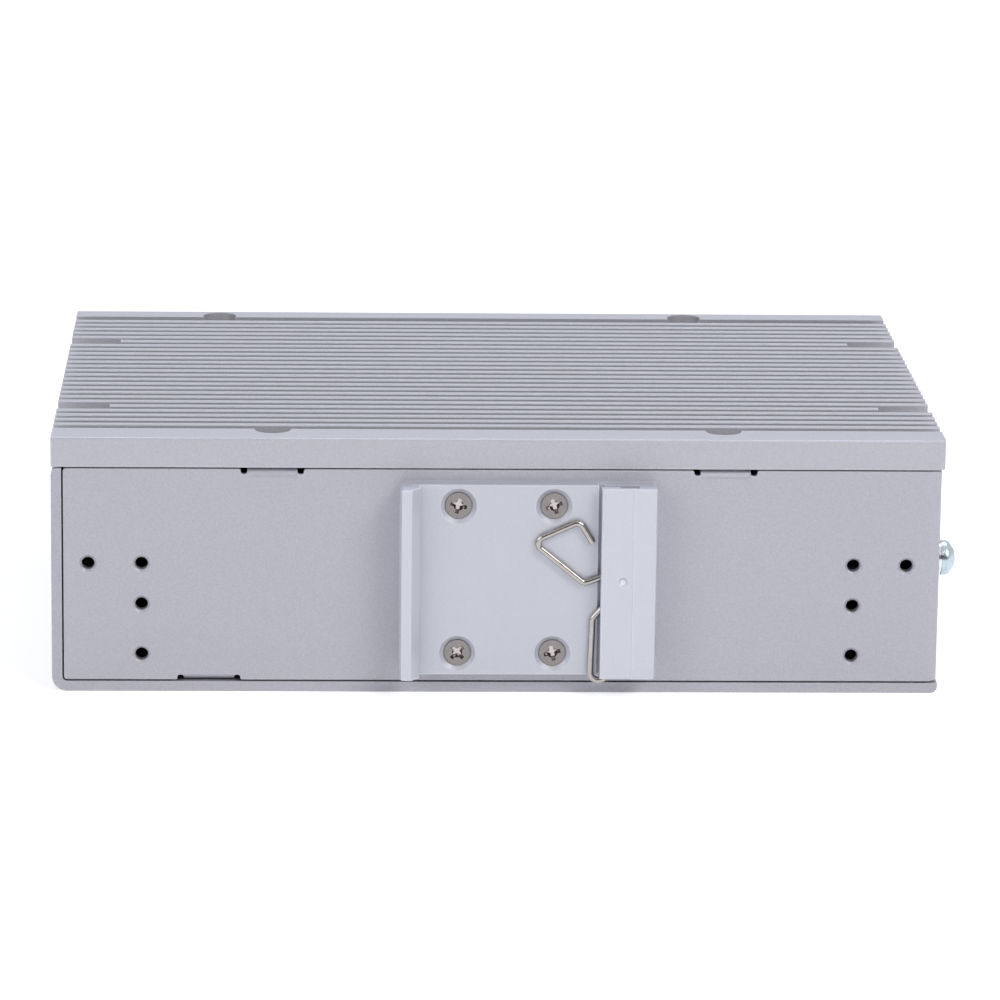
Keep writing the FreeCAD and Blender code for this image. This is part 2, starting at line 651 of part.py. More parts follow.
def front_panel():
    """Port panel with windows for the sockets and a flange folded back at each end."""
    t = CHASSIS_T
    back = FRONT - FLANGE_REACH
    inner = CHASSIS_BEND_R - t
    plan = [(SHEET_LEFT, back, 0.0), (SHEET_LEFT + t, back, 0.0), (SHEET_LEFT + t, FRONT - t, inner),
            (PANEL_RIGHT - t, FRONT - t, inner), (PANEL_RIGHT - t, back, 0.0), (PANEL_RIGHT, back, 0.0),
            (PANEL_RIGHT, FRONT, CHASSIS_BEND_R), (SHEET_LEFT, FRONT, CHASSIS_BEND_R)]
    sheet = prism(plan, PLAN, SHEET_BOTTOM, SHEET_TOP)
    inward = Y * -1
    places = [(Axes(Vector(x, FRONT, SHEET_TOP), inward, Z), FRONT_SCREW_INSET, M25_TAP_R)
              for x in FRONT_SCREW_XS]
    places += [(Axes(Vector(x, FRONT, SHEET_BOTTOM), inward, Z * -1), BASE_SCREW_INSET, M3_TAP_R)
               for x in BASE_TAB_XS]
    sheet = with_tabs(sheet, t, places)
    holes = [(Vector(SHEET_LEFT, y, z), X, M3_TAP_R) for y, z in FLANGE_SCREWS]
    holes += [(Vector(PANEL_RIGHT, y, z), X * -1, M3_TAP_R) for y, z in FLANGE_SCREWS]
    sheet = with_tapped(sheet, t, holes)
    windows = [(x, JACK_W, JACK_H) for x in JACK_XS]
    windows += [(x, CAGE_W, CAGE_H) for x in CAGE_XS]
    windows += [(HEADER_X, HEADER_W, HEADER_H)]
    cutters = []
    for x, width, height in windows:
        half = width / 2 + PANEL_FIT
        cutters.append(box(x - half, x + half, FRONT - t - 1, FRONT + 1,
                           BOARD_BOTTOM - height - PANEL_FIT, BOARD_BOTTOM + PANEL_FIT))
    for x in PORT_PIPES + CAGE_PIPES + POWER_PIPES:
        cutters.append(rod(Vector(x, FRONT + 1, PIPE_Z), inward, PIPE_R + PANEL_FIT / 2, t + 2))
    return sheet.cut(cutters)


# ================================================================ rail clip
def end_bevels(x0, x1, face_y):
    """Cutters that break the two ends of one outward face of the clip."""
    over = 0.5
    reach = CLIP_END_BEVEL + over
    cutters = []
    for end, side in ((CLIP_TOP, 1), (CLIP_BOTTOM, -1)):
        corner = sharp([(face_y - over, end - side * reach), (face_y + reach, end + side * over),
                        (face_y - over, end + side * over)])
        cutters.append(prism(corner, SECTION, x0, x1))
    return cutters


def din_clip_plate():
    """Extrusion with a fixed hook for one edge of the rail and a lipped block for the other."""
    hook_x = CLIP_LEFT + HOOK_WIDTH
    nose = CLIP_FLOOR_T + HOOK_GAP
    wall_x = CLIP_RIGHT - BLOCK_WALL
    under = BLOCK_DEPTH - BLOCK_LIP_T
    nose_x = LIP_X + BLOCK_NOSE_WIDTH
    lip = BLOCK_DEPTH - BLOCK_STEP
    step = CLIP_RIGHT - BLOCK_STEP_WIDTH
    profile = [(CLIP_LEFT, 0.0, 0.0), (CLIP_LEFT, HOOK_DEPTH, CLIP_EDGE_R),
               (CLIP_LEFT + HOOK_FLAT, HOOK_DEPTH, CLIP_EDGE_R), (hook_x, nose + HOOK_NOSE, CLIP_SMALL_R),
               (hook_x, nose, CLIP_SMALL_R), (hook_x - HOOK_UNDERCUT, nose - HOOK_SLOPE, CLIP_ROOT_R),
               (hook_x - HOOK_UNDERCUT, CLIP_FLOOR_T, 0.0), (wall_x, CLIP_FLOOR_T, CLIP_ROOT_R),
               (wall_x, under, CLIP_ROOT_R), (nose_x, under, CLIP_SMALL_R),
               (nose_x, under - BLOCK_NOSE_H, CLIP_SMALL_R), (LIP_X, under - BLOCK_NOSE_H, CLIP_SMALL_R),
               (LIP_X, lip, BLOCK_LIP_R),
               (step, lip, 0.0), (step, BLOCK_DEPTH, CLIP_SMALL_R), (CLIP_RIGHT, BLOCK_DEPTH, CLIP_EDGE_R),
               (CLIP_RIGHT, 0.0, 0.0)]
    out = Axes(Vector(0, REAR, 0), X, Y * -1)
    body = prism(profile, out, -CLIP_TOP, -CLIP_BOTTOM)
    face = [(CLIP_BOTTOM, CLIP_LEFT, CLIP_CORNER_R), (CLIP_TOP, CLIP_LEFT, CLIP_CORNER_R),
            (CLIP_TOP, CLIP_RIGHT, CLIP_CORNER_R), (CLIP_BOTTOM, CLIP_RIGHT, CLIP_CORNER_R)]
    body = body.common(prism(face, ELEVATION, REAR - HOOK_DEPTH - 1, REAR))
    cutters = []
    for x, z in CLIP_SCREWS:
        cutters += countersink(Vector(x, REAR - CLIP_FLOOR_T, z), Y, CLIP_MOUTH_R, M25_CLEAR_R, CLIP_FLOOR_T)
    for x0, x1, depth in ((CLIP_LEFT, CLIP_LEFT + HOOK_FLAT, HOOK_DEPTH), (hook_x, LIP_X, CLIP_FLOOR_T),
                          (LIP_X, step, lip), (step, CLIP_RIGHT, BLOCK_DEPTH)):
        cutters += end_bevels(x0, x1, REAR - depth)
    dent = Vector(LIP_X + WIRE_LEG_X, REAR - BLOCK_DEPTH + BLOCK_STEP, CLIP_BOTTOM + DIMPLE_Z)
    cutters.append(cone(dent, Y, DIMPLE_R, DIMPLE_R / 2, DIMPLE_DEPTH))
    return body.cut(cutters)


def clip_spring():
    """Bent spring wire: one leg held in the block's slot, two loops beside it."""
    corners = [(LIP_X + x, CLIP_BOTTOM + z, radius) for x, z, radius in WIRE_CORNERS]
    leg = LIP_X + WIRE_LEG_X
    corners += [(leg, CLIP_BOTTOM + WIRE_TURN_Z, WIRE_TURN_R), (leg, CLIP_TOP - WIRE_LEG_END, 0.0)]
    y = REAR - CLIP_FLOOR_T - WIRE_CLEAR - WIRE_R
    path = rounded_path(corners, lambda x, z: Vector(x, y, z), closed=False)
    return bent_wire(path, WIRE_R)


def clip_screws():
    return [flat_screw(Vector(x, REAR - CLIP_FLOOR_T, z), Y, turn, CLIP_MOUTH_R, CLIP_HEAD_R,
                       M25_SHANK_R, CLIP_SCREW_LENGTH)
            for (x, z), turn in zip(CLIP_SCREWS, CLIP_SCREW_TURNS)]


# ================================================================ fasteners
def heatsink_screws():
    rim = bevelled_rim(CHEESE_HEAD_R, CHEESE_HEAD_H, CHEESE_BEVEL)
    return [round_screw(Vector(x, y, GROOVE_Z), Z * -1, SINK_SCREW_TURN, CHEESE_HEAD_H, rim, M25_SHANK_R,
                        SINK_SCREW_LENGTH) for x, y in BORE_SCREWS + POCKET_SCREWS]


def base_screws():
    return [flat_screw(Vector(x, y, 0), Z, BASE_SCREW_TURN, FLAT_MOUTH_R, FLAT_HEAD_R, M3_SHANK_R,
                       FLAT_SCREW_LENGTH) for x, y in BASE_SCREWS]


def left_wall_screws():
    return [flat_screw(Vector(LEFT, y, z), X, LEFT_SCREW_TURN, FLAT_MOUTH_R, FLAT_HEAD_R, M3_SHANK_R,
                       FLAT_SCREW_LENGTH) for y, z in FLANGE_SCREWS]


def right_wall_screws():
    rim = [(PAN_HEAD_R, PAN_HEAD_H, PAN_CROWN_R)]
    return [round_screw(Vector(SHEET_RIGHT, y, z), X * -1, RIGHT_SCREW_TURN, PAN_HEAD_H, rim, M3_SHANK_R,
                        PAN_SCREW_LENGTH) for y, z in FLANGE_SCREWS]


def earth_screw():
    seat = Vector(SHEET_RIGHT + EARTH_WASHER_T, EARTH_Y, HOLE_Z_TOP)
    rim = [(EARTH_HEAD_R - EARTH_CROWN, EARTH_HEAD_H, EARTH_CROWN_R),
           (EARTH_HEAD_R, EARTH_HEAD_H / 2, EARTH_RIM_R)]
    return round_screw(seat, X * -1, EARTH_SCREW_TURN, EARTH_HEAD_H, rim, M3_SHANK_R, EARTH_SCREW_LENGTH)


def earth_lock_washer():
    """Split spring washer under the earth screw's head."""
    centre = Vector(SHEET_RIGHT, EARTH_Y, HOLE_Z_TOP)
    ring = rod(centre, X, EARTH_WASHER_R, EARTH_WASHER_T)
    bore = rod(centre - X, X, M3_CLEAR_R, EARTH_WASHER_T + 2)
    split = box(SHEET_RIGHT - 1, SHEET_RIGHT + EARTH_WASHER_T + 1, EARTH_Y - EARTH_WASHER_SPLIT / 2,
                EARTH_Y + EARTH_WASHER_SPLIT / 2, HOLE_Z_TOP - EARTH_WASHER_R - 1, HOLE_Z_TOP)
    return ring.cut([bore, split])


# ================================================================ board and standoffs
def main_board():
    board = box(LEFT + COVER_T + BOARD_SIDE_GAP, SHEET_RIGHT - CHASSIS_T - BOARD_SIDE_GAP,
                REAR + CHASSIS_T + BOARD_REAR_GAP, FRONT - CHASSIS_T - BOARD_FRONT_GAP,
                BOARD_BOTTOM, BOARD_TOP)
    return board.cut([rod(Vector(x, y, BOARD_BOTTOM - 1), Z, M3_CLEAR_R, BOARD_T + 2)
                      for x, y in STANDOFFS])


def board_standoffs():
    """Hexagonal spacers pressed into the base cover and tapped for the board's screws."""
    spacers = []
    for x, y in STANDOFFS:
        outline = sharp([(x + STANDOFF_CORNER * math.cos(math.radians(60 * i)),
                          y + STANDOFF_CORNER * math.sin(math.radians(60 * i))) for i in range(6)])
        hexagon = prism(outline, PLAN, COVER_T, BOARD_BOTTOM)
        shank = rod(Vector(x, y, STANDOFF_RECESS), Z, STANDOFF_SHANK_R, COVER_T - STANDOFF_RECESS)
        bore = rod(Vector(x, y, BOARD_BOTTOM - PAN_SCREW_LENGTH), Z, M3_TAP_R, PAN_SCREW_LENGTH + 1)
        spacers.append(fused(hexagon, [shank]).cut(bore))
    return spacers


def board_screws():
    rim = bevelled_rim(PAN_HEAD_R, PAN_HEAD_H, PAN_BEVEL)
    return [round_screw(Vector(x, y, BOARD_TOP), Z * -1, BOARD_SCREW_STEP * i, PAN_HEAD_H, rim,
                        M3_SHANK_R, PAN_SCREW_LENGTH) for i, (x, y) in enumerate(STANDOFFS)]


# ================================================================ sockets on the board
# Cages, jacks and header stand in one evenly spaced row, from the left standoff to the right screws.
HEADER_W = HEADER_PITCH * HEADER_POLES + 2 * (HEADER_END + HEADER_WALL)
PORT_LEFT = -STANDOFF_X + STANDOFF_CORNER + PORT_END
PORT_RIGHT = SHEET_RIGHT - PAN_SCREW_LENGTH - PORT_END
PORT_GAP = (PORT_RIGHT - PORT_LEFT - CAGE_COUNT * CAGE_W - JACK_COUNT * JACK_W - HEADER_W) \
    / (CAGE_COUNT + JACK_COUNT)
CAGE_XS = [PORT_LEFT + CAGE_W / 2 + (CAGE_W + PORT_GAP) * i for i in range(CAGE_COUNT)]
JACK_LEFT = PORT_LEFT + (CAGE_W + PORT_GAP) * CAGE_COUNT
JACK_XS = [JACK_LEFT + JACK_W / 2 + (JACK_W + PORT_GAP) * i for i in range(JACK_COUNT)]
HEADER_X = PORT_RIGHT - HEADER_W / 2
JACK_BOTTOM = BOARD_BOTTOM - JACK_H
JACK_MIDDLE = (BOARD_BOTTOM + JACK_BOTTOM) / 2


def mouths(x, y0, y1):
    """Cutters of a jack's two mouths; the latch slots point away from each other."""
    step = MOUTH_H / 2 + LATCH_H
    half = sharp([(MOUTH_W / 2, -MOUTH_H / 2), (MOUTH_W / 2, MOUTH_H / 2), (LATCH_W / 2, MOUTH_H / 2),
                  (LATCH_W / 2, step), (LATCH_TIP_W / 2, step), (LATCH_TIP_W / 2, step + LATCH_TIP_H)])
    outline = half + [(-a, b, 0.0) for a, b, radius in reversed(half)]
    cutters = []
    for side in (-1, 1):
        origin = Vector(x, 0, JACK_MIDDLE + side * MOUTH_SPACING / 2)
        axes = Axes(origin, X * -side, Z * side)
        cutters.append(prism(outline, axes, y0, y1))
    return cutters


def rj45_housing(x):
    """Moulded body of two sockets, one above the other."""
    half = JACK_W / 2 - SHIELD_T
    body = box(x - half, x + half, FRONT - JACK_L + SHIELD_T, FRONT - SHIELD_T,
               JACK_BOTTOM + SHIELD_T, BOARD_BOTTOM)
    return body.cut(mouths(x, FRONT - MOUTH_DEPTH, FRONT + 1))


def rj45_shield(x):
    """Tinned shell folded round the moulded body, open towards the board."""
    half = JACK_W / 2
    shell = box(x - half, x + half, FRONT - JACK_L, FRONT, JACK_BOTTOM, BOARD_BOTTOM)
    inside = box(x - half + SHIELD_T, x + half - SHIELD_T, FRONT - JACK_L + SHIELD_T, FRONT - SHIELD_T,
                 JACK_BOTTOM + SHIELD_T, BOARD_BOTTOM + 1)
    return shell.cut([inside] + mouths(x, FRONT - SHIELD_T - 1, FRONT + 1))


def rj45_contacts(x):
    """Sprung contacts that rise from the wall between the two mouths."""
    contacts = []
    foot = FRONT - CONTACT_INSET
    end = FRONT - CONTACT_END
    for side in (-1, 1):
        wall = JACK_MIDDLE + side * (MOUTH_SPACING / 2 - MOUTH_H / 2)
        rise = side * CONTACT_RISE
        t = side * CONTACT_T
        outline = sharp([(foot, wall), (foot, wall + t), (foot - CONTACT_FOOT, wall + t),
                         (end, wall + rise + t), (end, wall + rise), (foot - CONTACT_FOOT, wall)])
        for i in range(CONTACT_COUNT):
            middle = x + CONTACT_PITCH * (i - (CONTACT_COUNT - 1) / 2)
            contacts.append(prism(outline, SECTION, middle - CONTACT_T / 2, middle + CONTACT_T / 2))
    return contacts


def sfp_cage(x):
    """Folded cage for one optical module, open at the panel."""
    half = CAGE_W / 2
    front = FRONT + CAGE_PROUD
    shell = box(x - half, x + half, front - CAGE_L, front, BOARD_BOTTOM - CAGE_H, BOARD_BOTTOM)
    return shell.cut(box(x - half + CAGE_T, x + half - CAGE_T, front - CAGE_L + CAGE_T, front + 1,
                         BOARD_BOTTOM - CAGE_H + CAGE_T, BOARD_BOTTOM - CAGE_T))


def sfp_socket(x):
    """Edge connector at the back of a cage, slotted for the module's contact blade."""
    width, depth, height = EDGE_SOCKET
    y0 = FRONT + CAGE_PROUD - CAGE_L + CAGE_T
    top = BOARD_BOTTOM - CAGE_T
    body = box(x - width / 2, x + width / 2, y0, y0 + depth, top - height, top)
    half = width / 2 - EDGE_SOCKET_WALL
    slot = box(x - half, x + half, y0 + depth / 3, y0 + depth + 1,
               top - (height + EDGE_SLOT_H) / 2, top - (height - EDGE_SLOT_H) / 2)
    return body.cut(slot)


# ================================================================ power terminal
HEADER_BACK = FRONT - HEADER_L
HEADER_MIDDLE = BOARD_BOTTOM - HEADER_H / 2
POLE_XS = [HEADER_X + HEADER_PITCH * (i - (HEADER_POLES - 1) / 2) for i in range(HEADER_POLES)]


def power_header():
    """Open shroud soldered to the board round the row of power pins."""
    half = HEADER_W / 2
    body = box(HEADER_X - half, HEADER_X + half, HEADER_BACK, FRONT, BOARD_BOTTOM - HEADER_H, BOARD_BOTTOM)
    return body.cut(box(HEADER_X - half + HEADER_WALL, HEADER_X + half - HEADER_WALL,
                        HEADER_BACK + HEADER_FLOOR, FRONT + 1,
                        BOARD_BOTTOM - HEADER_H + HEADER_WALL, BOARD_BOTTOM - HEADER_WALL))


def power_pins():
    y0 = HEADER_BACK + HEADER_FLOOR
    return [box(x - PIN_T / 2, x + PIN_T / 2, y0, y0 + PIN_LENGTH,
                HEADER_MIDDLE - PIN_T / 2, HEADER_MIDDLE + PIN_T / 2) for x in POLE_XS]


def terminal_plug():
    """Pluggable screw terminal seated in the header, with one wire entry a pole."""
    gap = HEADER_WALL + PLUG_CLEAR
    half = HEADER_W / 2 - gap
    y0 = HEADER_BACK + HEADER_FLOOR + PLUG_CLEAR
    top = BOARD_BOTTOM - gap
    front = FRONT + PLUG_PROUD
    body = box(HEADER_X - half, HEADER_X + half, y0, front, BOARD_BOTTOM - HEADER_H + gap, top)
    cutters = []
    for x in POLE_XS:
        socket = PIN_T / 2 + PLUG_CLEAR
        cutters.append(box(x - socket, x + socket, y0 - 1, y0 + PIN_LENGTH + PLUG_CLEAR,
                           HEADER_MIDDLE - socket, HEADER_MIDDLE + socket))
        cutters.append(box(x - ENTRY_W / 2, x + ENTRY_W / 2, front - ENTRY_DEPTH, front + 1,
                           HEADER_MIDDLE - ENTRY_H / 2, HEADER_MIDDLE + ENTRY_H / 2))
        cutters.append(rod(Vector(x, front - CLAMP_SETBACK, top + 1), Z * -1, CLAMP_R + PLUG_CLEAR,
                           CLAMP_DEPTH + 1))
    return body.cut(cutters)


def terminal_screws():
    """Slotted clamp screws at the bottom of their wells in the plug."""
    top = BOARD_BOTTOM - HEADER_WALL - PLUG_CLEAR
    y = FRONT + PLUG_PROUD - CLAMP_SETBACK
    screws = []
    for x in POLE_XS:
        body = rod(Vector(x, y, top - CLAMP_DEPTH), Z, CLAMP_R, CLAMP_DEPTH / 2)
        slot = box(x - CLAMP_R, x + CLAMP_R, y - CLAMP_SLOT_W / 2, y + CLAMP_SLOT_W / 2,
                   top - 0.75 * CLAMP_DEPTH, top)
        screws.append(body.cut(slot))
    return screws


# ================================================================ indicators
PIPE_Z = BOARD_TOP + PIPE_RISE
PIPE_BACK = FRONT - PIPE_BAR_SETBACK - PIPE_BAR_T
PORT_PIPES = [x + side * PORT_PIPE_OFFSET for x in JACK_XS for side in (-1, 1)]
CAGE_PIPES = CAGE_XS
POWER_PIPES = [HEADER_X + POWER_PIPE_PITCH * i for i in (-1, 0, 1)]


def light_pipes(xs):
    """Clear bar on the board with one round pipe to the panel for each indicator."""
    top = PIPE_Z + PIPE_R
    bar = box(min(xs) - PIPE_BAR_END, max(xs) + PIPE_BAR_END, PIPE_BACK, PIPE_BACK + PIPE_BAR_T,
              BOARD_TOP, top)
    length = PIPE_BAR_SETBACK + PIPE_PROUD + PIPE_BAR_T / 2
    return fused(bar, [rod(Vector(x, FRONT + PIPE_PROUD, PIPE_Z), Y * -1, PIPE_R, length) for x in xs])


def status_leds():
    width, depth, height = LED_SIZE
    y = PIPE_BACK - depth / 2 - PRESS_CLEAR
    return [block((x, y), (width, depth, height), BOARD_TOP) for x in PORT_PIPES + CAGE_PIPES + POWER_PIPES]


# ================================================================ board parts
def thermal_pad():
    size = CHIP_SIZE - 2 * PAD_MARGIN
    x0 = CHIP_AT[0] - size / 2
    y0 = CHIP_AT[1] - size / 2
    z0 = BOARD_TOP + CHIP_H
    return box(x0, x0 + size, y0, y0 + size, z0, z0 + PAD_T)


def heat_block():
    """Aluminium block that carries the chip's heat to the underside of the finned cover."""
    z0 = BOARD_TOP + CHIP_H + PAD_T
    height = SINK_UNDER - z0
    half = HEAT_BLOCK_SIZE / 2
    outline = [(CHIP_AT[0] + u * half, CHIP_AT[1] + v * half, HEAT_BLOCK_CORNER_R)
               for u, v in ((-1, -1), (1, -1), (1, 1), (-1, 1))]
    return prism(outline, PLAN, z0, z0 + height)


def electrolytic_capacitors():
    """Cans that hang under the board, each with a crimp groove and a bevelled end."""
    cans = []
    groove = CAPACITOR_R - CAN_GROOVE
    waist = CAN_GROOVE_START + CAN_GROOVE
    outline = sharp([(0.0, 0.0), (CAPACITOR_R, 0.0), (CAPACITOR_R, CAN_GROOVE_START), (groove, waist),
                     (CAPACITOR_R, waist + CAN_GROOVE), (CAPACITOR_R, CAPACITOR_H - CAN_BEVEL),
                     (CAPACITOR_R - CAN_BEVEL, CAPACITOR_H), (0.0, CAPACITOR_H)])
    for i in range(CAPACITOR_COUNT):
        y = HEADER_BACK - CAPACITOR_PITCH * (i + 1)
        cans.append(lathe(outline, Axes(Vector(STANDOFF_X - CAPACITOR_INSET, y, BOARD_BOTTOM), X, Z * -1)))
    return cans


def power_inductors():
    """Drum cores on square bases under the board."""
    parts = []
    for x in INDUCTOR_XS:
        centre = (x, REAR + POWER_ROW)
        base = block(centre, (INDUCTOR_SIZE, INDUCTOR_SIZE, INDUCTOR_H / 4), BOARD_BOTTOM, False)
        axes = Axes(Vector(x, centre[1], BOARD_BOTTOM), X, Z * -1)
        waist = INDUCTOR_SIZE * 0.36
        rim = INDUCTOR_SIZE * 0.46
        outline = sharp([(0.0, 0.0), (waist, 0.0), (waist, INDUCTOR_H * 0.75), (rim, INDUCTOR_H * 0.8),
                         (rim, INDUCTOR_H), (0.0, INDUCTOR_H)])
        parts.append(fused(base, [lathe(outline, axes)]))
    return parts


def build():
    os.makedirs("parts", exist_ok=True)
    save("heatsink_cover", heatsink_cover())
    save("base_cover", base_cover())
    save("rear_chassis", rear_chassis())
    save("front_panel", front_panel())
    save("din_clip_plate", din_clip_plate())
    save("clip_spring", clip_spring())
    save("clip_screws", clip_screws())
    save("heatsink_screws", heatsink_screws())
    save("base_screws", base_screws())
    save("left_wall_screws", left_wall_screws())
    save("right_wall_screws", right_wall_screws())
    save("earth_screw", earth_screw())
    save("earth_lock_washer", earth_lock_washer())
    save("main_board", main_board())
    save("board_standoffs", board_standoffs())
    save("board_screws", board_screws())
    for i, x in enumerate(JACK_XS, 1):
        save("rj45_housing_%d" % i, rj45_housing(x))
        save("rj45_shield_%d" % i, rj45_shield(x))
        save("rj45_contacts_%d" % i, rj45_contacts(x))
    for i, x in enumerate(CAGE_XS, 1):
        save("sfp_cage_%d" % i, sfp_cage(x))
        save("sfp_socket_%d" % i, sfp_socket(x))
    save("power_header", power_header())
    save("power_pins", power_pins())
    save("terminal_plug", terminal_plug())
    save("terminal_screws", terminal_screws())
    save("port_light_pipes", light_pipes(PORT_PIPES))
    save("sfp_light_pipes", light_pipes(CAGE_PIPES))
    save("power_light_pipes", light_pipes(POWER_PIPES))
    save("status_leds", status_leds())
    save("switch_chip", block(CHIP_AT, (CHIP_SIZE, CHIP_SIZE, CHIP_H), BOARD_TOP))
    save("thermal_pad", thermal_pad())
    save("heat_block", heat_block())
    save("phy_chips", [block((x, CHIP_AT[1]), PHY_SIZE, BOARD_TOP) for x in PHY_XS])
    magnetic_y = FRONT - JACK_L - MAGNETIC_GAP - MAGNETIC_SIZE[1] / 2
    save("line_transformers", [block((x, magnetic_y), MAGNETIC_SIZE, BOARD_BOTTOM, False) for x in JACK_XS])
    save("power_transformer", block((TRANSFORMER_X, REAR + POWER_ROW), TRANSFORMER_SIZE, BOARD_BOTTOM, False))
    save("electrolytic_capacitors", electrolytic_capacitors())
    save("power_inductors", power_inductors())
    save("clock_crystal", block(CRYSTAL_AT, CRYSTAL_SIZE, BOARD_TOP))
    save("input_fuse", block((STANDOFF_X - FUSE_INSET, FUSE_Y), FUSE_SIZE, BOARD_BOTTOM, False))


build()
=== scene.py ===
import json
import math

import bmesh
import bpy
from mathutils import Matrix, Vector


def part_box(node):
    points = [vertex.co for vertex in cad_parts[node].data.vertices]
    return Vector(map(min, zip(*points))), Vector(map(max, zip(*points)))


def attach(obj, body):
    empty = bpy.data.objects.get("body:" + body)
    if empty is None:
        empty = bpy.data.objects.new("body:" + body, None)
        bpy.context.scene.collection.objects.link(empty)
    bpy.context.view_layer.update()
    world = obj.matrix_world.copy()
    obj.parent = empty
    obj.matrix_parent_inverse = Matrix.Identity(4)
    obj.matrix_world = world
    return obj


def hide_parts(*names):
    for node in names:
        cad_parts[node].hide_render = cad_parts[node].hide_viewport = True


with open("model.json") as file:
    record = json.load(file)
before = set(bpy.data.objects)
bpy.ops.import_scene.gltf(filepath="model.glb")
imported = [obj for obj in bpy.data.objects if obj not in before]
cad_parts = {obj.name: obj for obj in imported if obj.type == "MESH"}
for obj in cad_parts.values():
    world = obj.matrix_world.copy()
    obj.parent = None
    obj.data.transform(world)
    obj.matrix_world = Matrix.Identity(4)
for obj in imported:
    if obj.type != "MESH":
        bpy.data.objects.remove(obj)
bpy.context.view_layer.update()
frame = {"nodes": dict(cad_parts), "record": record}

NODES = frame["nodes"]

# ---------------------------------------------------------------- camera, in metres and degrees
CAMERA_AT = Vector((-0.03231, -0.9301, 0.24013))
CAMERA_YAW = -2.121
CAMERA_PITCH = -13.270
CAMERA_ROLL = -0.711
CAMERA_LENS = 193.49


def camera():
    data = bpy.data.cameras.new("camera")
    data.lens = CAMERA_LENS
    data.sensor_width = 36.0
    data.clip_start = 0.05
    data.clip_end = 50.0
    view = bpy.data.objects.new("camera", data)
    turn = (Matrix.Rotation(math.radians(CAMERA_YAW), 4, "Z")
            @ Matrix.Rotation(math.radians(CAMERA_PITCH), 4, "X")
            @ Matrix.Rotation(math.radians(CAMERA_ROLL), 4, "Y")
            @ Matrix.Rotation(math.radians(90.0), 4, "X"))
    view.matrix_world = Matrix.Translation(CAMERA_AT) @ turn
    bpy.context.scene.collection.objects.link(view)
    bpy.context.scene.camera = view


# ---------------------------------------------------------------- rail clip, in metres
# The first two repeat the clip's own sizes in the CAD.
BLOCK_WIDTH = 0.0094
CLIP_FLOOR_T = 0.0031
GROOVE_WIDTH = 0.00045
GROOVE_DEPTH = 0.0014
GROOVE_UNDER = 0.0006
GROOVE_PROUD = 0.0005


# ---------------------------------------------------------------- finishes, lengths in metres
# Reach of the painted highlight along outer edges, and of the painted shade in grooves and corners.
EDGE_REACH = 0.00028
NOOK_REACH = 0.004
OCCLUSION_SAMPLES = 8
# Openness over which the painted edge highlight and the painted nook shade fade out.
EDGE_SPAN = (0.55, 0.95)
NOOK_SPAN = (0.3, 0.8)
# The part of a noise texture's output that most of it lies in.
NOISE_SPAN = (0.3, 0.7)
# Grains per metre of blasted metal.
GRAIN = 5200.0
# Distances in front of the clip's floor at which its hook and block are lightest, and not lighter: painted
# light, the raised faces made lighter than the floor between them.
PROUD_REACH = (0.0020, 0.0003)
PROUD_PAINTED_LIGHT = 1.10
# Depths under a clip screw's face between which its recess turns lighter: a painted highlight in the
# recess.
RECESS_REACH = (0.00015, 0.0006)
RECESS_PAINTED_HIGHLIGHT = 2.1


# ---------------------------------------------------------------- studio
AMBIENT = 0.19
ROOM_DIM = 0.05
ROOM_EDGE = (-0.85, -0.30)
FLOOR_HALF = 4.0
# Glow near the part and far away, and the distances between which it rises.
FLOOR_GLOW = 0.54
FAR_GLOW = 0.86
FAR_REACH = (0.8, 2.2)
PART = (0.0, 0.0, 0.03)
# Name, place, aim, size, watts and colour of each soft box.
LAMPS = [
    ("key", (0.75, -0.95, 0.95), PART, (0.7, 0.7), 10.4, (1.0, 0.985, 0.995)),
    ("fill", (-0.9, -0.9, 0.6), PART, (0.8, 0.8), 5.2, (1.0, 0.985, 0.995)),
    ("top", (0.0, 0.55, 1.15), PART, (0.9, 0.6), 5.7, (0.76, 0.82, 1.0)),
]


def area_light(name, at, aim, size, power, colour):
    data = bpy.data.lights.new(name, "AREA")
    data.shape = "RECTANGLE"
    data.size, data.size_y = size
    data.energy = power
    data.color = colour
    lamp = bpy.data.objects.new(name, data)
    lamp.location = at
    lamp.rotation_euler = (Vector(aim) - Vector(at)).to_track_quat("-Z", "Y").to_euler()
    bpy.context.scene.collection.objects.link(lamp)


def seen_rays(tree):
    """1 for rays that the camera, gloss or glass sends out, else 0."""
    path = tree.add("ShaderNodeLightPath")
    seen = tree.math("MAXIMUM", path.outputs["Is Camera Ray"], path.outputs["Is Glossy Ray"])
    return tree.math("MAXIMUM", seen, path.outputs["Is Transmission Ray"])


def studio():
    """White surroundings with a dim room on the -Y side, and soft boxes."""
    world = bpy.data.worlds.new("studio")
    bpy.context.scene.world = world
    world.use_nodes = True
    tree = Tree(world.node_tree)
    surround = tree.add("ShaderNodeBackground")
    surround.inputs["Color"].default_value = (0.86, 0.88, 0.94, 1.0)
    surround.inputs["Strength"].default_value = AMBIENT
    path = tree.add("ShaderNodeLightPath")
    split = tree.add("ShaderNodeSeparateXYZ")
    tree.link(tree.add("ShaderNodeTexCoord").outputs["Generated"], split.inputs[0])
    room = tree.spread(split.outputs["Y"], ROOM_DIM, 1.0, *ROOM_EDGE)
    level = tree.math("MAXIMUM", room, path.outputs["Is Camera Ray"])
    white = tree.add("ShaderNodeBackground")
    tree.link(level, white.inputs["Strength"])
    mix = tree.add("ShaderNodeMixShader")
    tree.link(seen_rays(tree), mix.inputs[0])
    tree.link(surround.outputs[0], mix.inputs[1])
    tree.link(white.outputs[0], mix.inputs[2])
    tree.link(mix.outputs[0], tree.add("ShaderNodeOutputWorld").inputs[0])
    for lamp in LAMPS:
        area_light(*lamp)


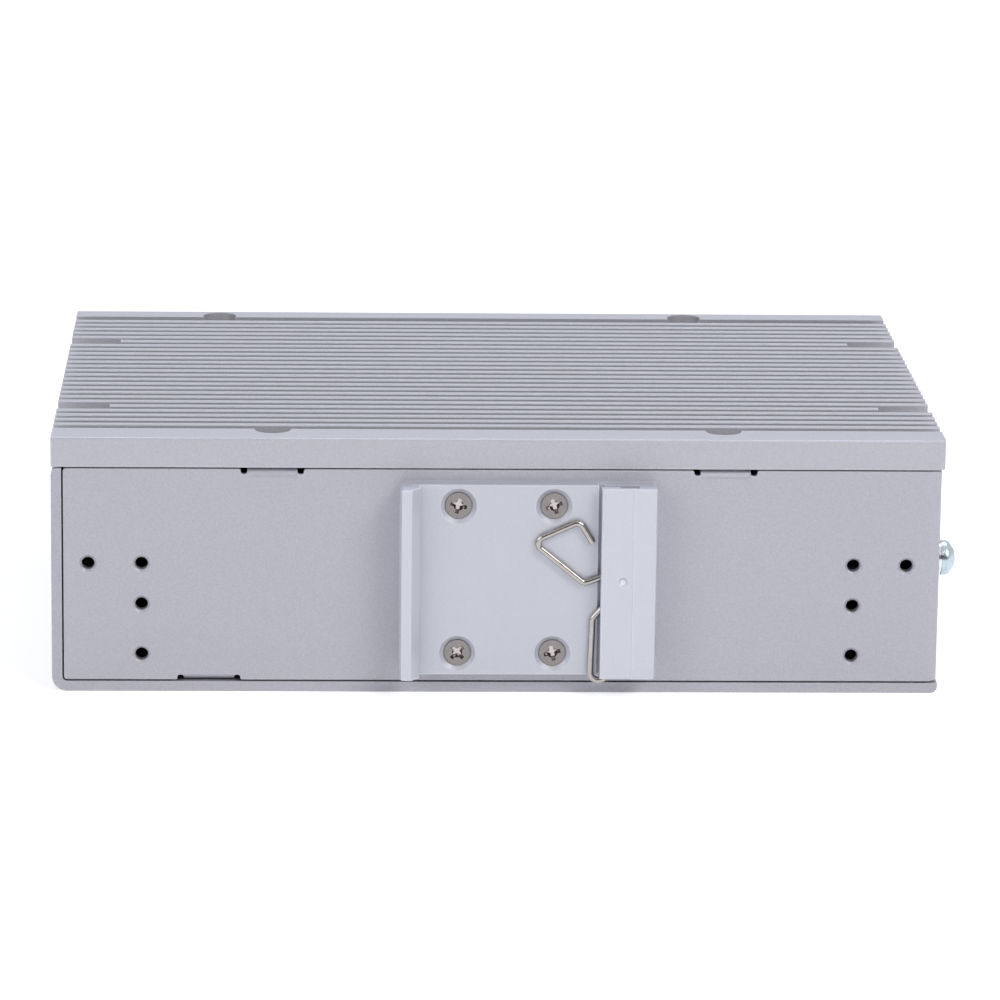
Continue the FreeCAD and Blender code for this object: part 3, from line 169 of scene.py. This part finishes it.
def floor():
    """Large white sheet under the part."""
    half = FLOOR_HALF
    corners = [(-half, -half, 0), (half, -half, 0), (half, half, 0), (-half, half, 0)]
    mesh = bpy.data.meshes.new("floor")
    mesh.from_pydata(corners, [], [(0, 1, 2, 3)])
    sheet = bpy.data.objects.new("floor", mesh)
    bpy.context.scene.collection.objects.link(sheet)
    material = bpy.data.materials.new("floor_white")
    material.use_nodes = True
    tree = Tree(material.node_tree)
    paint = tree.add("ShaderNodeBsdfDiffuse")
    paint.inputs["Color"].default_value = (0.9, 0.9, 0.9, 1.0)
    glow = tree.add("ShaderNodeEmission")
    away = tree.add("ShaderNodeVectorMath", operation="LENGTH")
    tree.link(tree.position(), away.inputs[0])
    level = tree.spread(away.outputs["Value"], FLOOR_GLOW, FAR_GLOW, *FAR_REACH)
    tree.link(tree.math("MULTIPLY", seen_rays(tree), level), glow.inputs["Strength"])
    both = tree.add("ShaderNodeAddShader")
    tree.link(paint.outputs[0], both.inputs[0])
    tree.link(glow.outputs[0], both.inputs[1])
    tree.link(both.outputs[0], tree.add("ShaderNodeOutputMaterial").inputs[0])
    mesh.materials.append(material)


# ---------------------------------------------------------------- material building blocks
class Tree:
    """Short names for adding and linking nodes."""

    def __init__(self, tree):
        self.tree = tree
        tree.nodes.clear()

    def add(self, kind, **settings):
        node = self.tree.nodes.new(kind)
        for name, value in settings.items():
            setattr(node, name, value)
        return node

    def link(self, out, into):
        self.tree.links.new(out, into)

    def position(self, stretch=(1.0, 1.0, 1.0)):
        """Object coordinates in metres, stretched along the axes."""
        where = self.add("ShaderNodeTexCoord")
        mapping = self.add("ShaderNodeMapping")
        mapping.inputs["Scale"].default_value = stretch
        self.link(where.outputs["Object"], mapping.inputs["Vector"])
        return mapping.outputs["Vector"]

    def noise(self, where, per_metre, detail=2.0, roughness=0.5):
        texture = self.add("ShaderNodeTexNoise")
        texture.inputs["Scale"].default_value = per_metre
        texture.inputs["Detail"].default_value = detail
        texture.inputs["Roughness"].default_value = roughness
        self.link(where, texture.inputs["Vector"])
        return texture.outputs["Fac"]

    def cells(self, where, per_metre):
        texture = self.add("ShaderNodeTexVoronoi")
        texture.inputs["Scale"].default_value = per_metre
        self.link(where, texture.inputs["Vector"])
        return texture.outputs["Color"]

    def spread(self, value, low, high, start=0.0, end=1.0):
        """Map start..end to low..high."""
        reach = self.add("ShaderNodeMapRange")
        self.link(value, reach.inputs["Value"])
        for name, number in (("From Min", start), ("From Max", end), ("To Min", low), ("To Max", high)):
            reach.inputs[name].default_value = number
        return reach.outputs["Result"]

    def math(self, operation, first, second):
        node = self.add("ShaderNodeMath", operation=operation)
        for slot, value in enumerate((first, second)):
            if isinstance(value, (int, float)):
                node.inputs[slot].default_value = value
            else:
                self.link(value, node.inputs[slot])
        return node.outputs[0]

    def shade(self, colour, factor):
        """Colour times a factor."""
        scale = self.add("ShaderNodeVectorMath", operation="SCALE")
        scale.inputs[0].default_value = colour
        self.link(factor, scale.inputs["Scale"])
        return scale.outputs["Vector"]

    def bump(self, height, distance, strength=1.0, below=None):
        node = self.add("ShaderNodeBump")
        node.inputs["Distance"].default_value = distance
        node.inputs["Strength"].default_value = strength
        self.link(height, node.inputs["Height"])
        if below is not None:
            self.link(below, node.inputs["Normal"])
        return node.outputs["Normal"]

    def ramps(self, shade, ramps):
        """Brightness times ramps of object position: (axis, start, end, factor there, factor there)."""
        split = self.add("ShaderNodeSeparateXYZ")
        self.link(self.position(), split.inputs[0])
        for axis, start, end, low, high in ramps:
            shade = self.math("MULTIPLY", shade, self.spread(split.outputs[axis], low, high, start, end))
        return shade

    def painted_highlight_and_shade(self, shade, edge_highlight, nook_shade):
        """Painted highlight along outer edges, and painted shade deep in grooves and corners."""
        inside = self.add("ShaderNodeAmbientOcclusion", inside=True, only_local=True,
                          samples=OCCLUSION_SAMPLES)
        inside.inputs["Distance"].default_value = EDGE_REACH
        # Painted highlight along outer edges.
        rim_highlight = self.spread(inside.outputs["AO"], 1.0 + edge_highlight, 1.0, *EDGE_SPAN)
        shade = self.math("MULTIPLY", shade, rim_highlight)
        if nook_shade:
            outside = self.add("ShaderNodeAmbientOcclusion", only_local=True, samples=OCCLUSION_SAMPLES)
            outside.inputs["Distance"].default_value = NOOK_REACH
            # Painted shade deep in grooves and corners.
            depth = self.spread(outside.outputs["AO"], 1.0 - nook_shade, 1.0, *NOOK_SPAN)
            shade = self.math("MULTIPLY", shade, depth)
        return shade

    def surface(self, colour, roughness, metallic=0.0, normal=None, **uniform):
        shader = self.add("ShaderNodeBsdfPrincipled")
        self.link(colour, shader.inputs["Base Color"])
        if isinstance(roughness, (int, float)):
            shader.inputs["Roughness"].default_value = roughness
        else:
            self.link(roughness, shader.inputs["Roughness"])
        shader.inputs["Metallic"].default_value = metallic
        for name, value in uniform.items():
            shader.inputs[name.replace("_", " ")].default_value = value
        if normal is not None:
            self.link(normal, shader.inputs["Normal"])
        self.link(shader.outputs[0], self.add("ShaderNodeOutputMaterial").inputs[0])


def new_material(name):
    material = bpy.data.materials.new(name)
    material.use_nodes = True
    return material, Tree(material.node_tree)


def blasted(name, colour, metallic, roughness, grain, sparkle, depth, edge_highlight, nook_shade=0.0):
    """Bead-blasted or textured silver: fine grain with bright and dark flecks."""
    material, tree = new_material(name)
    where = tree.position()
    fine = tree.noise(where, grain, 1.0)
    fleck = tree.add("ShaderNodeSeparateColor")
    tree.link(tree.cells(where, grain * 1.3), fleck.inputs[0])
    shade = tree.spread(fine, 1.0 - sparkle, 1.0 + sparkle, *NOISE_SPAN)
    shade = tree.math("MULTIPLY", shade, tree.spread(fleck.outputs[0], 1.0 - sparkle, 1.0 + sparkle))
    # Painted highlight along outer edges and painted shade in grooves and corners.
    shade = tree.painted_highlight_and_shade(shade, edge_highlight, nook_shade)
    rough = tree.spread(fleck.outputs[1], roughness - 0.08, roughness + 0.08)
    normal = tree.bump(fine, depth)
    tree.surface(tree.shade(colour, shade), rough, metallic, normal)
    return material


def drawn(name, colour, metallic, roughness, along, streak, depth, edge_highlight=0.1, ramps=()):
    """Satin extrusion: faint die lines along one direction over a very fine grain."""
    material, tree = new_material(name)
    stretch = [1.0, 1.0, 1.0]
    stretch["XYZ".index(along)] = 0.02
    lines = tree.noise(tree.position(stretch), 1800.0, 3.0, 0.6)
    fine = tree.noise(tree.position(), GRAIN, 2.0)
    shade = tree.spread(lines, 1.0 - streak, 1.0 + streak, *NOISE_SPAN)
    shade = tree.math("MULTIPLY", shade, tree.spread(fine, 0.97, 1.03, *NOISE_SPAN))
    # Painted highlight along outer edges, then the given ramps.
    shade = tree.ramps(tree.painted_highlight_and_shade(shade, edge_highlight, 0.0), ramps)
    rough = tree.spread(lines, roughness - 0.05, roughness + 0.05, *NOISE_SPAN)
    normal = tree.bump(lines, depth)
    tree.surface(tree.shade(colour, shade), rough, metallic, normal)
    return material


def plated(name, colour, roughness, wear, depth, ramps=()):
    """Plated metal with a little unevenness and fine handling marks."""
    material, tree = new_material(name)
    where = tree.position()
    cloud = tree.noise(where, 900.0, 3.0, 0.6)
    fine = tree.noise(where, 9000.0, 2.0)
    shade = tree.ramps(tree.spread(cloud, 1.0 - wear, 1.0 + wear * 0.4, *NOISE_SPAN), ramps)
    rough = tree.spread(fine, roughness * 0.75, roughness * 1.35, *NOISE_SPAN)
    normal = tree.bump(cloud, depth)
    tree.surface(tree.shade(colour, shade), rough, 1.0, normal)
    return material


def moulded(name, colour, roughness, grain, depth, mottle=0.06):
    """Moulded plastic, resin or ceramic with a fine spark-eroded grain."""
    material, tree = new_material(name)
    where = tree.position()
    fine = tree.noise(where, grain, 3.0, 0.6)
    cloud = tree.noise(where, grain / 40.0, 2.0)
    shade = tree.spread(cloud, 1.0 - mottle, 1.0 + mottle, *NOISE_SPAN)
    rough = tree.spread(fine, roughness - 0.06, roughness + 0.06, *NOISE_SPAN)
    normal = tree.bump(fine, depth)
    tree.surface(tree.shade(colour, shade), rough, 0.0, normal)
    return material


def clear(name, colour, roughness):
    """Clear moulded plastic, faintly cloudy."""
    material, tree = new_material(name)
    cloud = tree.noise(tree.position(), 600.0, 3.0)
    shade = tree.spread(cloud, 0.93, 1.0, *NOISE_SPAN)
    rough = tree.spread(cloud, roughness, roughness + 0.08, *NOISE_SPAN)
    tree.surface(tree.shade(colour, shade), rough, 0.0, None, Transmission_Weight=0.75, IOR=1.49)
    return material


def laminate(name, mask, copper):
    """Solder mask over a grid of tracks."""
    material, tree = new_material(name)
    where = tree.position()
    tracks = tree.add("ShaderNodeTexBrick", offset=0.37, squash=1.0)
    tracks.inputs["Scale"].default_value = 260.0
    tracks.inputs["Mortar Size"].default_value = 0.06
    tree.link(where, tracks.inputs["Vector"])
    line = tree.spread(tracks.outputs["Fac"], 0.0, 1.0)
    mix = tree.add("ShaderNodeMix", data_type="RGBA")
    tree.link(line, mix.inputs["Factor"])
    mix.inputs["A"].default_value = (*mask, 1.0)
    mix.inputs["B"].default_value = (*copper, 1.0)
    rough = tree.spread(tree.noise(where, 3000.0, 2.0), 0.28, 0.42, *NOISE_SPAN)
    tree.surface(mix.outputs["Result"], rough, 0.0, tree.bump(line, 0.00003))
    return material


def materials():
    """One finish for each of the record's slots, and a copy for the clip's screws with a painted highlight
    in their recesses.
    """
    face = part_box("din_clip_plate")[1].y - CLIP_FLOOR_T
    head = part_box("clip_screws")[0].y
    # Painted light: the clip's hook and block lighter than its floor.
    clip_painted_light_ramps = [("Y", face - PROUD_REACH[0], face - PROUD_REACH[1], PROUD_PAINTED_LIGHT, 1.0)]
    # Painted highlight in the clip screws' recesses.
    recess_highlight_ramps = [("Y", head + RECESS_REACH[0], head + RECESS_REACH[1], 1.0, RECESS_PAINTED_HIGHLIGHT)]
    return {
        # The edge numbers below are painted edge highlights; the cover's last number is painted shade in
        # its fin grooves.
        "anodised_cover": blasted("anodised_cover", (0.545, 0.547, 0.59), 0.45, 0.50, GRAIN, 0.05, 0.00001,
                                  0.16, 0.30),
        "painted_base": blasted("painted_base", (0.49, 0.49, 0.54), 0.45, 0.50, GRAIN, 0.065, 0.00001,
                                0.10),
        "bead_blasted_sheet": blasted("bead_blasted_sheet", (0.52, 0.52, 0.57), 0.45, 0.50, GRAIN, 0.055,
                                      0.00001, 0.12),
        "anodised_clip": drawn("anodised_clip", (0.61, 0.622, 0.68), 0.40, 0.42, "Z", 0.010, 0.000002,
                               0.36, clip_painted_light_ramps),
        "spring_steel": plated("spring_steel", (0.46, 0.43, 0.41), 0.19, 0.10, 0.000002),
        "nickel_screw": plated("nickel_screw", (0.31, 0.275, 0.262), 0.15, 0.08, 0.000002),
        "clip_screw_nickel_painted_highlight": plated("clip_screw_nickel_painted_highlight", (0.25, 0.23, 0.222), 0.13, 0.08, 0.000002,
                                    recess_highlight_ramps),
        "zinc_screw": plated("zinc_screw", (0.55, 0.65, 0.70), 0.26, 0.15, 0.000008),
        "zinc_washer": plated("zinc_washer", (0.80, 0.81, 0.83), 0.22, 0.10, 0.000006),
        "circuit_board": laminate("circuit_board", (0.02, 0.15, 0.06), (0.04, 0.24, 0.09)),
        "brass_standoff": plated("brass_standoff", (0.72, 0.56, 0.28), 0.30, 0.15, 0.000008),
        "tinned_shell": plated("tinned_shell", (0.74, 0.74, 0.72), 0.30, 0.10, 0.000006),
        "socket_plastic": moulded("socket_plastic", (0.020, 0.020, 0.021), 0.45, 5000.0, 0.00001, 0.15),
        "gold_contact": plated("gold_contact", (0.92, 0.70, 0.30), 0.20, 0.10, 0.000003),
        "green_terminal": moulded("green_terminal", (0.045, 0.26, 0.09), 0.42, 4000.0, 0.00001),
        "tinned_pin": plated("tinned_pin", (0.76, 0.76, 0.74), 0.28, 0.10, 0.000005),
        "clear_pipe": clear("clear_pipe", (0.90, 0.91, 0.92), 0.12),
        "led_body": moulded("led_body", (0.75, 0.76, 0.62), 0.30, 5000.0, 0.000006),
        "chip_epoxy": moulded("chip_epoxy", (0.022, 0.022, 0.024), 0.55, 4500.0, 0.00001, 0.12),
        "thermal_pad": moulded("thermal_pad", (0.30, 0.36, 0.42), 0.75, 2600.0, 0.00003, 0.05),
        "heat_block": drawn("heat_block", (0.74, 0.75, 0.77), 0.9, 0.35, "X", 0.03, 0.000006),
        "capacitor_can": moulded("capacitor_can", (0.02, 0.022, 0.03), 0.30, 3000.0, 0.00001),
        "ferrite": moulded("ferrite", (0.05, 0.05, 0.052), 0.70, 2600.0, 0.00003, 0.15),
        "crystal_can": plated("crystal_can", (0.78, 0.78, 0.77), 0.25, 0.08, 0.000005),
        "fuse_body": moulded("fuse_body", (0.70, 0.68, 0.62), 0.5, 3000.0, 0.00001),
    }


def solid_box(name, low, high):
    """Box between two corners, used as a cutter."""
    mesh = bpy.data.meshes.new(name)
    shape = bmesh.new()
    bmesh.ops.create_cube(shape, size=1.0)
    for vertex in shape.verts:
        vertex.co = Vector(low[i] + (high[i] - low[i]) * (vertex.co[i] + 0.5) for i in range(3))
    shape.to_mesh(mesh)
    shape.free()
    piece = bpy.data.objects.new(name, mesh)
    bpy.context.scene.collection.objects.link(piece)
    return piece


def clip_plate(finish):
    """The CAD rail clip with a narrow groove cut into its floor along the foot of its lip."""
    low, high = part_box("din_clip_plate")
    lip = high[0] - BLOCK_WIDTH
    face = high[1] - CLIP_FLOOR_T
    piece = bpy.data.objects.new("clip_plate", NODES["din_clip_plate"].data.copy())
    bpy.context.scene.collection.objects.link(piece)
    cutter = solid_box("groove_cutter", (lip - GROOVE_WIDTH, face - GROOVE_PROUD, low[2] - GROOVE_PROUD),
                       (lip + GROOVE_UNDER, face + GROOVE_DEPTH, high[2] + GROOVE_PROUD))
    groove = piece.modifiers.new("groove", "BOOLEAN")
    groove.operation = "DIFFERENCE"
    groove.solver = "EXACT"
    groove.object = cutter
    bpy.context.view_layer.update()
    cut = bpy.data.meshes.new_from_object(piece.evaluated_get(bpy.context.evaluated_depsgraph_get()))
    piece.modifiers.clear()
    piece.data = cut
    bpy.data.objects.remove(cutter)
    cut.materials.clear()
    cut.materials.append(finish)
    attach(piece, "root")
    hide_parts("din_clip_plate")


def dress(slots):
    """Give each CAD node the finish of its slot."""
    for entry in frame["record"]["subparts"]:
        node = NODES[entry["node"]]
        node.data.materials.clear()
        node.data.materials.append(slots[entry["material_slot"]])
    # The clip's screws take the copy with the painted recess highlight.
    NODES["clip_screws"].data.materials[0] = slots["clip_screw_nickel_painted_highlight"]


bpy.context.scene.view_settings.view_transform = "Standard"
camera()
studio()
floor()
finishes = materials()
dress(finishes)
clip_plate(finishes["anodised_clip"])
